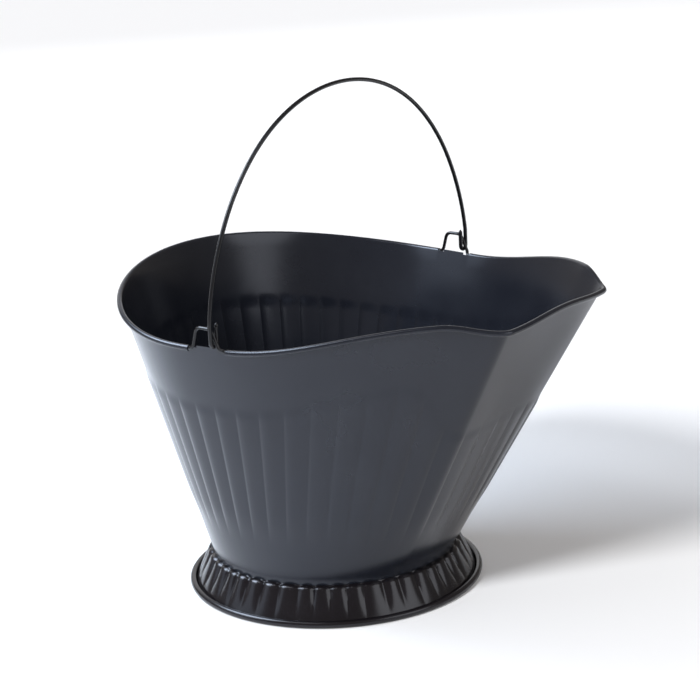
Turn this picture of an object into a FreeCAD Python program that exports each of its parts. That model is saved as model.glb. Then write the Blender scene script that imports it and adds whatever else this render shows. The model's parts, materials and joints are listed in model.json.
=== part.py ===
import FreeCAD, Part
import functools
import math
import os
import Sketcher

# Coal hod: a fluted sheet-steel scuttle with a pouring lip, a crimped foot and a wire bail.
# Millimetres, +Z up, +X towards the pouring lip. The origin is the centre of the foot, on the floor.

Vector = FreeCAD.Vector
UP = Vector(0, 0, 1)

doc = FreeCAD.newDocument("coal_hod")

# Driving sizes
sheet = doc.addObject("Spreadsheet::Sheet", "sizes")
SIZES = [
    ("sheet_thickness", 0.6, "steel sheet of the body, the pan and the foot"),
    ("clearance", 0.15, "room between one formed sheet and the next"),
    ("wire_room", 0.35, "room between a wire and the sheet rolled over it"),
    ("waist_radius", 108.3, "outside of the body where the foot grips it"),
    ("waist_height", 31.2, "floor to the waist"),
    ("collar_depth", 8.0, "straight collar of the body below the waist"),
    ("hem_width", 5.0, "inward hem under the pan"),
    ("pan_bend_radius", 2.0, "outside bend of the pan"),
    ("pan_flange", 6.0, "depth of the pan's flange"),
    ("rim_half_width", 178.0, "widest half width, at the middle of the rim roll"),
    ("rim_widest_x", -14.0, "where the rim is widest"),
    ("rim_back_reach", 164.7, "middle of the foot to the back of the rim"),
    ("rim_side_radius", 362.0, "sides of the rim in plan"),
    ("lip_reach", 245.8, "middle of the foot to the lip"),
    ("lip_radius", 600.0, "bow of the lip in plan"),
    ("lip_corner_radius", 12.0, "corners of the lip in plan"),
    ("rim_height", 257.0, "floor to the rim at the ears"),
    ("back_rise", 26.0, "rise of the rim to the back"),
    ("crown_rise", 25.0, "rise of the rim to the crown behind the lip"),
    ("crown_x", 212.0, "where that rise ends"),
    ("dip_x", 200.0, "where the fall from the crown to the lip's corners starts"),
    ("lip_dip", 8.0, "depth of that fall"),
    ("lip_arch", 4.0, "rise of the lip between its corners"),
    ("rim_wire_diameter", 3.0, "wire rolled into the rim"),
    ("flute_count", 50, "flutes round the body"),
    ("flute_gain", 4, "how many of them closer spacing towards the back makes room for"),
    ("flute_gain_end", 0.2935, "share of the way round, from the back, where that spacing ends"),
    ("flute_depth", 1.5, "how far the flutes stand out from the grooves between them"),
    ("flute_top_gap", 58.0, "plain band below the rim, along the wall"),
    ("flute_lip_gap", 112.0, "plain band below the lip, along the wall"),
    ("flute_fall_x", 186.0, "where the one band starts to widen into the other"),
    ("flute_bottom_gap", 42.0, "plain band above the waist, along the wall"),
    ("flute_fade", 12.0, "length over which a flute runs out"),
    ("seam_width", 8.0, "lock seam down the back"),
    ("seam_thickness", 1.2, "how far the lock seam stands out"),
    ("ear_x", 19.5, "middle of the ears"),
    ("ear_width", 37.0, "gap in the rim roll at an ear"),
    ("ear_height", 18.5, "rim to the top of an ear, between wire middles"),
    ("ear_bend_radius", 5.0, "bends of an ear"),
    ("ear_back_angle", 80.0, "slope of an ear's back leg"),
    ("ear_front_angle", 66.0, "slope of an ear's front leg"),
    ("ear_tab_rise", 1.8, "plain sheet edge inside an ear, above the rim's middle"),
    ("ear_tab_notch", 7.0, "notch between that edge and the rim roll, round the foot of a leg"),
    ("foot_radius", 131.5, "outside of the foot's bead"),
    ("foot_wire_diameter", 4.6, "wire rolled into the foot"),
    ("foot_ledge", 5.9, "step from the body out to the crimps"),
    ("crimp_count", 46, "crimps round the foot"),
    ("crimp_depth", 2.2, "how far a crimp swells at its top"),
    ("crimp_nose", 3.6, "rounded top of a crimp"),
    ("crimp_fade", 7.0, "height above the bead's middle where the crimps are half as deep"),
    ("bail_wire_diameter", 3.6, "wire of the bail"),
    ("bail_x", 28.5, "the bail's pivot, forward of the ears' middle"),
    ("bail_height", 184.0, "pivot to the top of the bail, between wire middles"),
    ("bail_leg", 18.0, "pivot to the top of the straight leg beside an ear"),
    ("bail_crown_angle", 50.0, "turn of the arch's crown on each side of its top"),
    ("hook_gap", 0.6, "room between the ear's wire and the bail, and under the hook"),
    ("hook_height", 19.0, "pivot to the tip of a hook"),
]
for line, (name, value, meaning) in enumerate(SIZES, start=1):
    sheet.set(f"A{line}", meaning)
    sheet.set(f"B{line}", str(value))
    sheet.setAlias(f"B{line}", name)
doc.recompute()


def size(name):
    """One driving size, read from the sheet."""
    return float(sheet.get(name))


def mix(start, end, share):
    """The point a share of the way from start to end."""
    return start + (end - start) * share


def ease(share):
    """A smooth step from 0 to 1 with level ends."""
    return (1 - math.cos(math.pi * min(max(share, 0.0), 1.0))) / 2


def edge_through(start, middle, end):
    """An arc through three points, or a line where they are in line."""
    straight_within = 1e-4
    if middle.distanceToLine(start, end - start) < straight_within:
        return Part.LineSegment(start, end).toShape()
    return Part.Arc(start, middle, end).toShape()


def closed_solid(faces):
    """The solid inside faces that meet edge to edge."""
    skin = Part.makeCompound(faces)
    skin.sewShape(1e-4)
    solid = Part.Solid(skin.Shells[0])
    if solid.Volume < 0:
        solid.reverse()
    return solid


# Sizes that follow from the driving ones
thickness = size("sheet_thickness")
clearance = size("clearance")
wire_room = size("wire_room")
waist_radius = size("waist_radius")
waist_height = size("waist_height")
collar_bottom = waist_height - size("collar_depth")
rim_half_width = size("rim_half_width")
widest_x = size("rim_widest_x")
back_reach = size("rim_back_reach")
ear_x = size("ear_x")
ear_half = size("ear_width") / 2
ear_front = ear_x + ear_half
ear_back = ear_x - ear_half
rim_wire_radius = size("rim_wire_diameter") / 2
foot_wire_radius = size("foot_wire_diameter") / 2
flute_count = int(size("flute_count"))
flute_gain = size("flute_gain")
flute_gain_end = size("flute_gain_end")
crimp_count = int(size("crimp_count"))

# A rolled edge is a row of narrow flats round its wire
CURL_STEP = 40.0
CURL_STEPS = 7
ROLL_SHARE = math.cos(math.radians(CURL_STEP / 2))
curl_inside = (rim_wire_radius + wire_room) / ROLL_SHARE
curl_outside = curl_inside + thickness
bead_inside = (foot_wire_radius + wire_room) / ROLL_SHARE
bead_outside = bead_inside + thickness
bead_radius = size("foot_radius") - bead_outside
bead_height = bead_outside * ROLL_SHARE


def rim_plan():
    """Half of the rim roll's middle in plan, from the back round by -Y to the middle of the lip.

    A quarter ellipse at the back, an arc along the side, a round corner and half of the bowed lip.
    Each stretch is an edge, with whether it runs backwards.
    """
    side_radius = size("rim_side_radius")
    lip_radius = size("lip_radius")
    corner_radius = size("lip_corner_radius")
    side_middle = Vector(widest_x, side_radius - rim_half_width, 0)
    lip_middle = Vector(size("lip_reach") - lip_radius, 0, 0)
    apart = lip_middle - side_middle
    from_side = side_radius - corner_radius
    from_lip = lip_radius - corner_radius
    along = (apart.Length ** 2 + from_side ** 2 - from_lip ** 2) / (2 * apart.Length)
    across = math.sqrt(from_side ** 2 - along ** 2)
    axis = apart / apart.Length
    corners = [side_middle + axis * along + UP.cross(axis) * across * side for side in (1, -1)]
    corner = min(corners, key=lambda point: point.y)

    def heading(middle, point):
        return math.atan2(point.y - middle.y, point.x - middle.x)

    def arc(middle, radius, first, last):
        angles = [first, (first + last) / 2, last]
        points = [middle + Vector(math.cos(angle), math.sin(angle), 0) * radius for angle in angles]
        return edge_through(*points)

    side_end = heading(side_middle, corner)
    lip_end = heading(lip_middle, corner)
    middle = Vector(widest_x, 0, 0)
    widest = Vector(widest_x, -rim_half_width, 0)
    back = Vector(-back_reach, 0, 0)
    ends = [widest, back] if rim_half_width > back_reach + widest_x else [back, widest]
    ellipse = Part.Ellipse(*ends, middle)
    turns = sorted(ellipse.parameter(point) for point in (widest, back))
    if turns[1] - turns[0] > math.pi:
        turns = [turns[1], turns[0] + 2 * math.pi]
    quarter = Part.ArcOfEllipse(ellipse, *turns).toShape()
    return [
        (quarter, quarter.valueAt(quarter.FirstParameter).distanceToPoint(back) > 1),
        (arc(side_middle, side_radius, -math.pi / 2, side_end), False),
        (arc(corner, corner_radius, side_end, lip_end), False),
        (arc(lip_middle, lip_radius, lip_end, 0), False),
    ]


RIM_PLAN = rim_plan()
half_length = sum(edge.Length for edge, backwards in RIM_PLAN)
plan_ends = [sum(edge.Length for edge, backwards in RIM_PLAN[:count]) for count in (2, 3)]
corner_start, corner_end = (length / half_length / 2 for length in plan_ends)
lip_corner = RIM_PLAN[3][0].valueAt(RIM_PLAN[3][0].FirstParameter)


def rim_rise(x, y):
    """The rim above its height at the ears: up to the back, up to a crown, down to the lip."""
    if x < ear_back:
        return size("back_rise") * ((ear_back - x) / (ear_back + back_reach)) ** 2
    rise = size("crown_rise") * ease((x - ear_front) / (size("crown_x") - ear_front))
    dip_x = size("dip_x")
    if x > dip_x:
        rise -= size("lip_dip") * ease((x - dip_x) / (lip_corner.x - dip_x))
        rise += size("lip_arch") * ease(1 - abs(y / lip_corner.y))
    return rise


@functools.lru_cache(maxsize=None)
def rim_point(turn):
    """The middle of the rim roll at a share of the way round, from the back by -Y."""
    turn = turn % 1.0
    if turn > 0.5:
        point = rim_point(1.0 - turn)
        return Vector(point.x, -point.y, point.z)
    length = turn * 2 * half_length
    for edge, backwards in RIM_PLAN[:-1]:
        if length <= edge.Length:
            break
        length -= edge.Length
    else:
        edge, backwards = RIM_PLAN[-1]
    length = min(length, edge.Length)
    plan = edge.valueAt(edge.getParameterByLength(edge.Length - length if backwards else length))
    return Vector(plan.x, plan.y, size("rim_height") + rim_rise(plan.x, plan.y))


def rim_heading(turn):
    """The direction of the rim."""
    step = 1e-4
    return (rim_point(turn + step) - rim_point(turn - step)).normalize()


def turn_at(x):
    """The share of the way round where the -Y half of the rim is at x."""
    low, high = 0.0, 0.5
    for halving in range(50):
        middle = (low + high) / 2
        if rim_point(middle).x < x:
            low = middle
        else:
            high = middle
    return low


def around(turn, radius, height):
    """A point at a radius from the hod's middle."""
    angle = math.pi * (1 + 2 * turn)
    return Vector(radius * math.cos(angle), radius * math.sin(angle), height)


@functools.lru_cache(maxsize=None)
def wall_lines(turn):
    """A straight line of the wall: foot on the waist, top, direction, and outwards at the top."""
    foot = around(turn, waist_radius, waist_height)
    middle = rim_point(turn)
    direction = (middle - foot).normalize()
    outwards = rim_heading(turn).cross(direction).normalize()
    return foot, middle - outwards * curl_inside, direction, outwards


def flutes_before(turn):
    """How many flutes lie between the back and a share of the way round."""
    turn = turn % 1.0
    half = min(turn, 1 - turn)
    flutes = (flute_count - flute_gain) * half + flute_gain / 2 * ease(half / flute_gain_end)
    return flutes if turn <= 0.5 else flute_count - flutes


def groove_turn(flutes):
    """The share of the way round where this many flutes lie behind."""
    low, high = 0.0, 1.0
    for halving in range(50):
        middle = (low + high) / 2
        if flutes_before(middle) < flutes:
            low = middle
        else:
            high = middle
    return low


def pressed(turn):
    """How far the flutes are pressed out here: 0 in a groove, 1 on the crown of a flute."""
    across = (flutes_before(turn) + 0.5) % 1.0
    return 1 - (2 * across - 1) ** 2


def from_waist(distance):
    """A place on the wall's lines, this far up from the waist."""
    return lambda turn, length: distance / length


def under_band(distance):
    """A place on the wall's lines, this far below the plain band, which is wider below the lip."""
    fall_x = size("flute_fall_x")
    band, lip_band = size("flute_top_gap"), size("flute_lip_gap")

    def place(turn, length):
        lipwards = ease((rim_point(turn).x - fall_x) / (lip_corner.x - fall_x))
        return 1 - (mix(band, lip_band, lipwards) + distance) / length

    return place


def at_rim(turn, length):
    """The place where the wall's lines end at the rim."""
    return 1.0


def wall_row(place, depth, inset):
    """A row of points round the wall, at a place on its lines."""

    def point(turn):
        foot, top, direction, outwards = wall_lines(turn)
        share = place(turn, (top - foot).Length)
        normal = mix(around(turn, 1, 0), outwards, share).normalize()
        return mix(foot, top, share) + normal * (depth * pressed(turn) - inset)

    return point


def ring_row(radius, height):
    """A row of points round a circle."""
    return lambda turn: around(turn, radius, height)


def curl_row(angle, radius):
    """A row of points round the rim roll, turned outwards from the top of the wall."""

    def point(turn):
        foot, top, direction, outwards = wall_lines(turn)
        out, rise = -math.cos(math.radians(angle)) * radius, math.sin(math.radians(angle)) * radius
        return rim_point(turn) + outwards * out + direction * rise

    return point


def tab_row(inset):
    """A row of points along the plain sheet edge inside an ear."""

    def point(turn):
        foot, top, direction, outwards = wall_lines(turn)
        return top + direction * size("ear_tab_rise") - outwards * inset

    return point


def row_edges(row, stations):
    """A row's arcs from station to station."""
    spans = zip(stations, stations[1:] + [stations[0] + 1.0])
    return [edge_through(row(start), row((start + end) / 2), row(end)) for start, end in spans]


def strips(rows, places):
    """Ruled faces between each row of edges and the next, at the given places."""
    pairs = list(zip(rows, rows[1:]))
    return [Part.makeRuledSurface(low[place], high[place]) for low, high in pairs for place in places]


def polygon_face(points):
    """A flat face inside a closed run of points."""
    return Part.Face(Part.makePolygon(points + points[:1]))


def body_sheet():
    """The wrapped body: hem, collar, fluted wall, and the rim rolled outwards except inside the ears."""
    notch = size("ear_tab_notch")
    ear_turns = [turn_at(x) for x in (ear_back, ear_back + notch, ear_front - notch, ear_front)]
    half_turns = ear_turns + [corner_start, corner_end]
    dip_start = turn_at(size("dip_x"))
    grooves = [groove_turn(flutes + 0.5) for flutes in range(flute_count)]
    apart = 0.1 / flute_count
    half_turns += [turn for turn in (dip_start, mix(dip_start, corner_start, 0.5))
                   if min(abs(turn - groove) for groove in grooves) > apart]
    stations = sorted(grooves + half_turns + [1 - turn for turn in half_turns])
    ends = stations[1:] + [stations[0] + 1.0]

    def inside(start, end, first, last):
        middle = (start + end) / 2 % 1.0
        return first < min(middle, 1 - middle) < last

    spans = list(enumerate(zip(stations, ends)))
    everywhere = [place for place, span in spans]
    in_ear = [place for place, span in spans if inside(*span, ear_turns[0], ear_turns[3])]
    in_tab = [place for place, span in spans if inside(*span, ear_turns[1], ear_turns[2])]
    rolled = [place for place in everywhere if place not in in_ear]
    plain = [place for place in in_ear if place not in in_tab]

    fade = size("flute_fade")
    low = size("flute_bottom_gap")
    depth = size("flute_depth")
    wall = [(from_waist(0), 0), (from_waist(low), 0), (from_waist(low + 2 * fade), depth),
            (under_band(fade), depth), (under_band(0), 0), (at_rim, 0)]
    outer = [row_edges(wall_row(*line, 0), stations) for line in wall]
    inner = [row_edges(wall_row(*line, thickness), stations) for line in wall]
    angles = [CURL_STEP * step for step in range(1, CURL_STEPS + 1)]
    roll_in = [row_edges(curl_row(angle, curl_inside), stations) for angle in angles]
    roll_out = [row_edges(curl_row(angle, curl_outside), stations) for angle in angles]
    tab_out = row_edges(tab_row(0), stations)
    tab_in = row_edges(tab_row(thickness), stations)
    bore = waist_radius - thickness
    hem_hole = bore - size("hem_width")
    bottom = [row_edges(ring_row(radius, height), stations) for radius, height in
              [(bore, collar_bottom + thickness), (hem_hole, collar_bottom + thickness),
               (hem_hole, collar_bottom), (waist_radius, collar_bottom)]]

    faces = strips([inner[0]] + bottom + outer, everywhere)
    faces += strips(inner, everywhere)
    faces += strips([outer[-1]] + roll_in + roll_out[::-1] + [inner[-1]], rolled)
    faces += strips([outer[-1], inner[-1]], plain)
    faces += strips([outer[-1], tab_out, tab_in, inner[-1]], in_tab)
    for turn in (ear_turns[0], ear_turns[3], 1 - ear_turns[0], 1 - ear_turns[3]):
        hook = [curl_row(angle, curl_inside)(turn) for angle in [0] + angles]
        hook += [curl_row(angle, curl_outside)(turn) for angle in angles[::-1] + [0]]
        faces.append(polygon_face(hook))
    for turn in (ear_turns[1], ear_turns[2], 1 - ear_turns[1], 1 - ear_turns[2]):
        top = wall_lines(turn)[1]
        root = wall_row(at_rim, 0, thickness)(turn)
        faces.append(polygon_face([top, tab_row(0)(turn), tab_row(thickness)(turn), root]))
    return closed_solid(faces)


def back_seam():
    """The flat of the lock seam, along the straight line of the wall at the back."""
    foot, top, direction, outwards = wall_lines(0.0)
    sunk = thickness - clearance
    roll = 2 * curl_outside + thickness
    length = (top - foot).Length - roll - thickness
    bar = Part.makeBox(size("seam_width"), size("seam_thickness") + sunk, length)
    across = outwards.cross(direction)
    corner = foot + direction * thickness - outwards * sunk - across * (size("seam_width") / 2)
    turn = FreeCAD.Rotation(across, outwards, direction, "ZXY")
    bar.Placement = FreeCAD.Placement(corner, turn)
    return bar


# Leans of the rows over a crimp's nose, from its level top, and the share of its swell at that top
NOSE_LEANS = (90, 60, 35)
NOSE_START = 1 / 3


def foot_row(radius, height, heading, swell):
    """A row of points round the foot: on the crimps' crowns at this radius, drawn in between them."""
    lean = math.radians(heading)

    def point(turn):
        across = turn * crimp_count % 1.0
        drawn_in = swell * (2 * across - 1) ** 2
        return around(turn, radius - drawn_in * math.cos(lean), height - drawn_in * math.sin(lean))

    return point


def foot_ring():
    """The crimped foot: a ledge under the waist, round noses, a flared skirt and a rolled bead."""
    stations = [place / crimp_count for place in range(crimp_count)]
    everywhere = range(crimp_count)
    depth = size("crimp_depth")
    nose = size("crimp_nose")
    grip = waist_radius + clearance
    ledge_height = waist_height - clearance
    nose_radius = waist_radius + size("foot_ledge") - nose
    nose_height = ledge_height - nose
    skirt_radius = bead_radius - bead_inside
    flare = math.degrees(math.atan2(skirt_radius - nose_radius - nose, nose_height - bead_height))
    crown = nose_radius + nose * math.cos(math.radians(flare))
    crown_height = nose_height + nose * math.sin(math.radians(flare))
    fading = 1 - size("crimp_fade") / (crown_height - bead_height)
    half_height = mix(crown_height, bead_height, fading)
    profile = [(grip, ledge_height, NOSE_LEANS[0], 0)]
    for lean in NOSE_LEANS:
        out, rise = math.cos(math.radians(lean)) * nose, math.sin(math.radians(lean)) * nose
        share = mix(1, NOSE_START, (lean - flare) / (NOSE_LEANS[0] - flare))
        profile.append((nose_radius + out, nose_height + rise, lean, depth * share))
    profile.append((crown, crown_height, flare, depth))
    profile.append((mix(crown, skirt_radius, fading), half_height, flare, depth / 2))
    profile.append((skirt_radius, bead_height, 0, 0))

    def sunk(radius, height, heading, swell):
        lean = math.radians(heading)
        return radius - thickness * math.cos(lean), height - thickness * math.sin(lean), heading, swell

    outer = [row_edges(foot_row(*line), stations) for line in profile]
    inner = [row_edges(foot_row(*sunk(*line)), stations) for line in profile]
    lowest = 270
    turns = [lowest + CURL_STEP * (step - 0.5) for step in range(CURL_STEPS)]
    turns.insert(0, turns[0] - CURL_STEP)

    def bead_row(angle, radius):
        out, rise = math.cos(math.radians(angle)) * radius, math.sin(math.radians(angle)) * radius
        return row_edges(ring_row(bead_radius + out, bead_height + rise), stations)

    roll_in = [bead_row(angle, bead_inside) for angle in turns]
    roll_out = [bead_row(angle, bead_outside) for angle in turns]
    faces = strips(outer + roll_in + roll_out[:1:-1], everywhere)
    rims = [Part.Wire(roll_out[2]), Part.Wire(roll_out[1])]
    faces.append(Part.makeFace(rims, "Part::FaceMakerBullseye"))
    faces += strips([roll_out[1], roll_out[0]] + inner[::-1] + [outer[0]], everywhere)
    return closed_solid(faces)


def biarc(start, start_heading, end, end_heading):
    """Two arcs that leave start and reach end along the given headings and meet smoothly between."""
    chord = end - start
    turning = 2 * (1 - start_heading.dot(end_heading))
    onward = chord.dot(start_heading + end_heading)
    if turning < 1e-9:
        reach = chord.dot(chord) / (2 * onward)
    else:
        reach = (math.sqrt(onward ** 2 + turning * chord.dot(chord)) - onward) / turning
    corners = [start + start_heading * reach, end - end_heading * reach]
    meet = mix(*corners, 0.5)
    edges = []
    for first, corner, last in ((start, corners[0], meet), (meet, corners[1], end)):
        base = mix(first, last, 0.5)
        rise = corner - base
        half = (last - first).Length / 2
        bulge = half * math.tan(math.atan2(rise.Length, half) / 2)
        peak = base + rise * (bulge / rise.Length) if rise.Length > 1e-6 else base
        edges.append(edge_through(first, peak, last))
    return edges


# An ear stands along X, this share of the way from the rim's line at its front to that at its back
EAR_BACK_SHARE = 0.9
ear_reach = mix(*(abs(rim_point(turn_at(x)).y) for x in (ear_front, ear_back)), EAR_BACK_SHARE)


def ear_leg(foot, along, slope):
    """Places and headings of a wire that bends up from the rim, climbs a leg and bends level at the top."""
    bend = size("ear_bend_radius")
    climbing = along * math.cos(slope) + UP * math.sin(slope)
    swing = along * (bend * math.sin(slope)) + UP * (bend * (1 - math.cos(slope)))
    leg = (size("ear_height") - 2 * bend * (1 - math.cos(slope))) / math.sin(slope)
    return [(foot + swing, climbing), (foot + swing + climbing * leg, climbing),
            (foot + swing * 2 + climbing * leg, along)]


def ear_knots(side):
    """Places and headings along an ear, from its back leg over the top and down its front leg."""
    ahead = Vector(1, 0, 0)
    back, front = (Vector(x, side * ear_reach, size("rim_height")) for x in (ear_back, ear_front))
    rising = ear_leg(back, ahead, math.radians(size("ear_back_angle")))
    falling = ear_leg(front, -ahead, math.radians(size("ear_front_angle")))
    return rising + [(place, -heading) for place, heading in falling[::-1]]


# Pairs of arcs along a side, half of the lip and the back: enough for the wire to stay clear of its roll
SIDE_ARC_COUNT = 18
LIP_ARC_COUNT = 3
BACK_ARC_COUNT = 16


def rim_wire():
    """The wire inside the rim roll, bent up out of it into an ear on each side."""
    back, front = turn_at(ear_back), turn_at(ear_front)

    def run(first, last, pieces):
        return [mix(first, last, step / pieces) for step in range(pieces + 1)]

    half = run(front, corner_start, SIDE_ARC_COUNT) + run(corner_end, 0.5, LIP_ARC_COUNT)[:-1]
    lip_run = half + [0.5] + [1 - turn for turn in half[::-1]]
    back_run = run(1 - back, 1 + back, BACK_ARC_COUNT)
    knots = [(rim_point(turn), rim_heading(turn)) for turn in lip_run]
    knots += [(place, -heading) for place, heading in ear_knots(1)[::-1]]
    knots += [(rim_point(turn), rim_heading(turn)) for turn in back_run]
    knots += ear_knots(-1)
    edges = []
    for (start, leaving), (end, reaching) in zip(knots, knots[1:] + knots[:1]):
        edges += biarc(start, leaving, end, reaching)
    path = Part.Wire(edges)
    section = Part.Wire(Part.makeCircle(rim_wire_radius, knots[0][0], knots[0][1]))
    return path.makePipeShell([section], True, False)


def add_solid(label, shape):
    """A sub-part with a shape of its own."""
    feature = doc.addObject("Part::Feature", label)
    feature.Label = label
    feature.Shape = shape
    feature.Placement = FreeCAD.Placement()
    return feature


def origin_plane(body, role):
    """One of a body's own origin planes."""
    return next(plane for plane in body.Origin.OriginFeatures if plane.Role == role)


def new_sketch(body, name, role):
    """A sketch on one of a body's origin planes."""
    sketch = body.newObject("Sketcher::SketchObject", name)
    sketch.AttachmentSupport = (origin_plane(body, role), [""])
    sketch.MapMode = "FlatFace"
    return sketch


def hold(sketch, name, constraint, expression):
    """A dimension of a sketch that follows the sheet."""
    number = sketch.addConstraint(constraint)
    sketch.renameConstraint(number, name)
    sketch.setExpression(f"Constraints.{name}", expression)


START, END, MIDDLE = range(1, 4)
ORIGIN = (-1, START)
SIDE_AXIS, UP_AXIS = -1, -2


def bottom_pan():
    """The bottom: a disc with a flange turned down inside the collar, standing on the hem."""
    body = doc.addObject("PartDesign::Body", "bottom_pan")
    body.Label = "bottom_pan"
    radius = waist_radius - thickness - clearance
    flange = size("pan_flange")
    profile = new_sketch(body, "pan_profile", "XZ_Plane")
    corners = [(0, flange), (radius, flange), (radius, 0), (radius - thickness, 0),
               (radius - thickness, flange - thickness), (0, flange - thickness)]
    corners = [Vector(x, y, 0) for x, y in corners]
    for start, end in zip(corners, corners[1:] + corners[:1]):
        profile.addGeometry(Part.LineSegment(start, end))
    for line in range(6):
        profile.addConstraint(Sketcher.Constraint("Coincident", line, END, (line + 1) % 6, START))
        profile.addConstraint(Sketcher.Constraint("Vertical" if line % 2 else "Horizontal", line))
    profile.addConstraint(Sketcher.Constraint("PointOnObject", 0, START, UP_AXIS))
    profile.addConstraint(Sketcher.Constraint("PointOnObject", 1, END, SIDE_AXIS))
    hold(profile, "radius", Sketcher.Constraint("DistanceX", *ORIGIN, 1, START, radius),
         "sizes.waist_radius - sizes.sheet_thickness - sizes.clearance")
    hold(profile, "flange", Sketcher.Constraint("DistanceY", 1, END, 1, START, flange), "sizes.pan_flange")
    hold(profile, "flange_wall", Sketcher.Constraint("DistanceX", 2, END, 2, START, thickness),
         "sizes.sheet_thickness")
    hold(profile, "floor", Sketcher.Constraint("DistanceY", 5, START, 5, END, thickness),
         "sizes.sheet_thickness")
    turned = body.newObject("PartDesign::Revolution", "pan_disc")
    turned.Profile = profile
    turned.ReferenceAxis = (profile, ["V_Axis"])
    turned.Angle = 360
    doc.recompute()
    bends = [("pan_inner_bend", flange - thickness, "sizes.pan_bend_radius - sizes.sheet_thickness"),
             ("pan_outer_bend", flange, "sizes.pan_bend_radius")]
    for name, height, expression in bends:
        base = body.Tip
        names = [f"Edge{number}" for number, edge in enumerate(base.Shape.Edges, start=1)
                 if isinstance(edge.Curve, Part.Circle) and abs(edge.CenterOfMass.z - height) < 1e-6]
        bend = body.newObject("PartDesign::Fillet", name)
        bend.Base = (base, names)
        bend.setExpression("Radius", expression)
        doc.recompute()
    hem_top = "sizes.waist_height - sizes.collar_depth + sizes.sheet_thickness"
    body.setExpression("Placement.Base.z", hem_top)
    return body


def foot_wire():
    """The wire inside the foot's bead."""
    ring = doc.addObject("Part::Torus", "foot_wire")
    ring.Label = "foot_wire"
    ring.setExpression("Radius2", "sizes.foot_wire_diameter / 2")
    roll = f"((sizes.foot_wire_diameter / 2 + sizes.wire_room) / {ROLL_SHARE} + sizes.sheet_thickness)"
    ring.setExpression("Radius1", f"sizes.foot_radius - {roll}")
    ring.setExpression("Placement.Base.z", f"{roll} * {ROLL_SHARE}")
    return ring


def bail_handle():
    """The bail: one bent wire with a hook at each end, upright over its pivot line through the two ears.

    Half of it is a wire along a path in the upright plane: the arch's crown and shoulder, a straight leg
    beside the ear, the hook's bend through it and a short inner leg. The other half is its mirror image.
    """
    body = doc.addObject("PartDesign::Body", "bail_handle")
    body.Label = "bail_handle"
    wire_radius = size("bail_wire_diameter") / 2
    hook = rim_wire_radius + size("hook_gap") + wire_radius
    span = ear_reach + hook
    height = size("bail_height")
    tab_top = max(tab_row(inset)(turn_at(size("bail_x"))).z for inset in (0, thickness))
    pivot_height = tab_top + size("hook_gap") + wire_radius
    crown_turn = math.radians(size("bail_crown_angle"))
    leg_height = size("bail_leg")
    longer = (span - height + leg_height) / (math.sin(crown_turn) + math.cos(crown_turn) - 1)
    shoulder_radius = span - longer * math.sin(crown_turn)
    crown_radius = shoulder_radius + longer
    crown_middle = Vector(0, height - crown_radius, 0)
    shoulder_middle = Vector(span - shoulder_radius, leg_height, 0)
    hook_middle = Vector(span - hook, hook, 0)
    tip = Vector(span - 2 * hook, size("hook_height"), 0)
    joint = math.pi / 2 - crown_turn

    def arc(middle, radius, first, last):
        return Part.ArcOfCircle(Part.Circle(middle, UP, radius), first, last)

    path = new_sketch(body, "bail_path", "YZ_Plane")
    path.addGeometry(arc(crown_middle, crown_radius, joint, math.pi / 2))
    path.addGeometry(arc(shoulder_middle, shoulder_radius, 0, joint))
    path.addGeometry(Part.LineSegment(Vector(span, hook, 0), Vector(span, leg_height, 0)))
    path.addGeometry(arc(hook_middle, hook, math.pi, 2 * math.pi))
    path.addGeometry(Part.LineSegment(Vector(span - 2 * hook, hook, 0), tip))
    crown, shoulder, leg, bend, end_leg = range(5)
    path.addConstraint(Sketcher.Constraint("PointOnObject", crown, MIDDLE, UP_AXIS))
    path.addConstraint(Sketcher.Constraint("PointOnObject", crown, END, UP_AXIS))
    path.addConstraint(Sketcher.Constraint("Tangent", crown, START, shoulder, END))
    path.addConstraint(Sketcher.Constraint("Tangent", shoulder, START, leg, END))
    path.addConstraint(Sketcher.Constraint("Tangent", leg, START, bend, END))
    path.addConstraint(Sketcher.Constraint("Tangent", bend, START, end_leg, START))
    path.addConstraint(Sketcher.Constraint("Vertical", end_leg))
    hold(path, "height", Sketcher.Constraint("DistanceY", *ORIGIN, crown, END, height),
         "sizes.bail_height")
    path.addConstraint(Sketcher.Constraint("Radius", bend, hook))
    path.addConstraint(Sketcher.Constraint("DistanceY", *ORIGIN, bend, MIDDLE, hook))
    hold(path, "leg_height", Sketcher.Constraint("DistanceY", *ORIGIN, leg, END, leg_height), "sizes.bail_leg")
    hold(path, "hook_height", Sketcher.Constraint("DistanceY", *ORIGIN, end_leg, END, tip.y),
         "sizes.hook_height")
    path.addConstraint(Sketcher.Constraint("DistanceX", *ORIGIN, shoulder, START, span))
    crown_reach = crown_radius * math.sin(crown_turn)
    path.addConstraint(Sketcher.Constraint("DistanceX", *ORIGIN, crown, START, crown_reach))
    section = new_sketch(body, "bail_section", "XZ_Plane")
    section.addGeometry(Part.Circle(Vector(0, height, 0), UP, wire_radius))
    section.addConstraint(Sketcher.Constraint("PointOnObject", 0, MIDDLE, UP_AXIS))
    hold(section, "height", Sketcher.Constraint("DistanceY", *ORIGIN, 0, MIDDLE, height),
         "sizes.bail_height")
    hold(section, "wire", Sketcher.Constraint("Diameter", 0, 2 * wire_radius), "sizes.bail_wire_diameter")
    half = body.newObject("PartDesign::AdditivePipe", "bail_half")
    half.Profile = section
    half.Spine = (path, [f"Edge{number}" for number in range(1, 6)])
    doc.recompute()
    both = body.newObject("PartDesign::Mirrored", "bail_halves")
    both.Originals = [half]
    both.MirrorPlane = (origin_plane(body, "XZ_Plane"), [""])
    body.Tip = both
    body.Placement = FreeCAD.Placement(Vector(size("bail_x"), 0, pivot_height), FreeCAD.Rotation())
    print("bail pivot at height", round(pivot_height, 2))
    return body


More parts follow.
